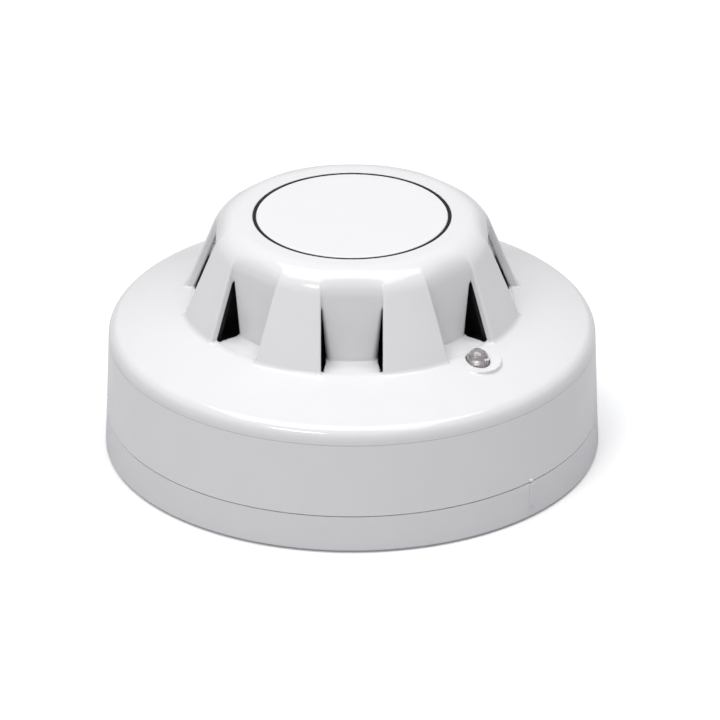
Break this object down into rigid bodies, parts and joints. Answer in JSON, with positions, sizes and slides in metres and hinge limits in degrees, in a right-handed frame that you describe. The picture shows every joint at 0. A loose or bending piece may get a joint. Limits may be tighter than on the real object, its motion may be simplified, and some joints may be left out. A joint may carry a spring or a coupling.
{
  "type": "heat detector",
  "caption": "Round white point heat detector: twist-lock base with screw terminals, vented head with thermistor, circuit board and alarm lamp under a lift-off cover.",
  "frame": {"origin": "centre of the base's back face, on the mounting surface", "axes": "+Z out of the mounting surface towards the nose, -Y the front of the detector, +X to the right seen from the front"},
  "size_m": [0.1, 0.1, 0.05],
  "materials": {
    "cover_white": "moulded white, fine satin gloss",
    "disc_white": "moulded white, flat satin face",
    "base_white": "moulded white, satin",
    "chassis_white": "moulded off-white, matte",
    "spring_steel": "stamped stainless strip",
    "clamp_steel": "plated steel plate",
    "screw_steel": "nickel-plated screw",
    "contact_brass": "plated brass",
    "board_green": "glass-epoxy board with solder mask",
    "chip_black": "moulded epoxy package",
    "cap_sleeve": "shrink-sleeved can",
    "part_tan": "ceramic chip body",
    "post_plastic": "moulded off-white",
    "lead_wire": "tinned wire",
    "bead_epoxy": "epoxy-coated bead",
    "chamber_black": "moulded black, matte",
    "mesh_dark": "fine dark mesh",
    "lens_clear": "clear epoxy lamp body",
    "seal_black": "black bedding ring"
  },
  "bodies": {
    "base": {"base_moulding": "base_white", "contact_spring_1": "spring_steel", "contact_spring_2": "spring_steel", "contact_spring_3": "spring_steel", "contact_spring_4": "spring_steel", "earth_strip": "spring_steel"},
    "clamp_1": {"clamp_plate_1": "clamp_steel"},
    "screw_1": {"terminal_screw_1": "screw_steel"},
    "clamp_2": {"clamp_plate_2": "clamp_steel"},
    "screw_2": {"terminal_screw_2": "screw_steel"},
    "clamp_3": {"clamp_plate_3": "clamp_steel"},
    "screw_3": {"terminal_screw_3": "screw_steel"},
    "clamp_4": {"clamp_plate_4": "clamp_steel"},
    "screw_4": {"terminal_screw_4": "screw_steel"},
    "clamp_5": {"clamp_plate_5": "clamp_steel"},
    "screw_5": {"terminal_screw_5": "screw_steel"},
    "head": {"head_chassis": "chassis_white", "head_contacts": "contact_brass", "circuit_board": "board_green", "board_screws": "screw_steel", "processor_chip": "chip_black", "driver_chips": "chip_black", "filter_capacitor": "cap_sleeve", "chip_parts": "part_tan", "thermistor_post": "post_plastic", "thermistor_leads": "lead_wire", "thermistor_bead": "bead_epoxy", "chamber_tray": "chamber_black", "screen_cage": "chamber_black", "mesh_screen": "mesh_dark", "led_spacer": "post_plastic", "led_leads": "lead_wire", "alarm_led": "lens_clear"},
    "cover": {"outer_cover": "cover_white", "top_disc": "disc_white", "disc_seal": "seal_black"}
  },
  "joints": [
    {"name": "clamp_lift_1", "type": "slide", "parent": "base", "child": "clamp_1", "axis": [0, 0, 1], "range_m": [0, 0.002]},
    {"name": "screw_turn_1", "type": "hinge", "parent": "clamp_1", "child": "screw_1", "pos_m": [0.02121, 0.02121, 0.006], "axis": [0, 0, 1], "range_deg": [0, 1201]},
    {"name": "clamp_lift_2", "type": "slide", "parent": "base", "child": "clamp_2", "axis": [0, 0, 1], "range_m": [0, 0.002]},
    {"name": "screw_turn_2", "type": "hinge", "parent": "clamp_2", "child": "screw_2", "pos_m": [-0.02121, 0.02121, 0.006], "axis": [0, 0, 1], "range_deg": [0, 1201]},
    {"name": "clamp_lift_3", "type": "slide", "parent": "base", "child": "clamp_3", "axis": [0, 0, 1], "range_m": [0, 0.002]},
    {"name": "screw_turn_3", "type": "hinge", "parent": "clamp_3", "child": "screw_3", "pos_m": [-0.02121, -0.02121, 0.006], "axis": [0, 0, 1], "range_deg": [0, 1201]},
    {"name": "clamp_lift_4", "type": "slide", "parent": "base", "child": "clamp_4", "axis": [0, 0, 1], "range_m": [0, 0.002]},
    {"name": "screw_turn_4", "type": "hinge", "parent": "clamp_4", "child": "screw_4", "pos_m": [0.02121, -0.02121, 0.006], "axis": [0, 0, 1], "range_deg": [0, 1201]},
    {"name": "clamp_lift_5", "type": "slide", "parent": "base", "child": "clamp_5", "axis": [0, 0, 1], "range_m": [0, 0.002]},
    {"name": "screw_turn_5", "type": "hinge", "parent": "clamp_5", "child": "screw_5", "pos_m": [0, 0.03, 0.006], "axis": [0, 0, 1], "range_deg": [0, 1201]},
    {"name": "head_twist", "type": "hinge", "parent": "base", "child": "head", "pos_m": [0, 0, 0], "axis": [0, 0, 1], "range_deg": [0, 20]},
    {"name": "cover_lift", "type": "slide", "parent": "head", "child": "cover", "axis": [0, 0, 1], "range_m": [0, 0.045]}
  ],
  "couplings": [
    {"joint": "screw_turn_1", "follows": "clamp_lift_1", "rad_per_m": 10472},
    {"joint": "screw_turn_2", "follows": "clamp_lift_2", "rad_per_m": 10472},
    {"joint": "screw_turn_3", "follows": "clamp_lift_3", "rad_per_m": 10472},
    {"joint": "screw_turn_4", "follows": "clamp_lift_4", "rad_per_m": 10472},
    {"joint": "screw_turn_5", "follows": "clamp_lift_5", "rad_per_m": 10472}
  ]
}
